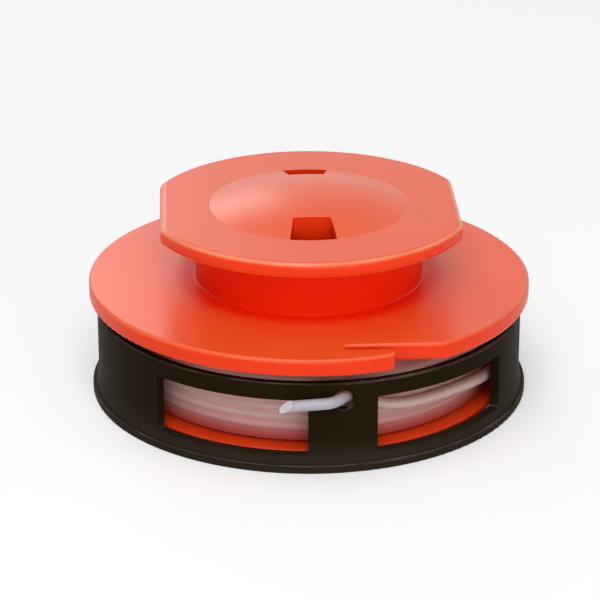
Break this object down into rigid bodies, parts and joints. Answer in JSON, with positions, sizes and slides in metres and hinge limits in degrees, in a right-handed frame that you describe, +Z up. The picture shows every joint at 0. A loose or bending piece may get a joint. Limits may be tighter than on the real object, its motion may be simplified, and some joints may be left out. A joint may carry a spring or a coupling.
{
  "type": "trimmer line spool",
  "caption": "Wound grass trimmer line spool: a grip plate, hollow neck and flanges in one moulding, held in a loose windowed ring whose eyelet leads out the cut end of the line.",
  "frame": {"origin": "centre of the surface that the ring stands on, on the spool's axis", "axes": "+Z up along the spin axis towards the grip plate, -Y towards the ring's eyelet, +X to the right seen from the eyelet side"},
  "size_m": [0.064, 0.0651, 0.0299],
  "materials": {
    "spool_plastic": "satin orange-red moulded plastic",
    "ring_plastic": "satin black moulded plastic",
    "nylon_line": "clear-white drawn nylon"
  },
  "bodies": {
    "ring": {"line_ring": "ring_plastic", "line_tail": "nylon_line"},
    "reel": {"spool": "spool_plastic", "line_winding": "nylon_line"}
  },
  "joints": [
    {"name": "spool_spin", "type": "hinge", "parent": "ring", "child": "reel", "pos_m": [0, 0, 0.0015], "axis": [0, 0, 1], "continuous": true}
  ]
}
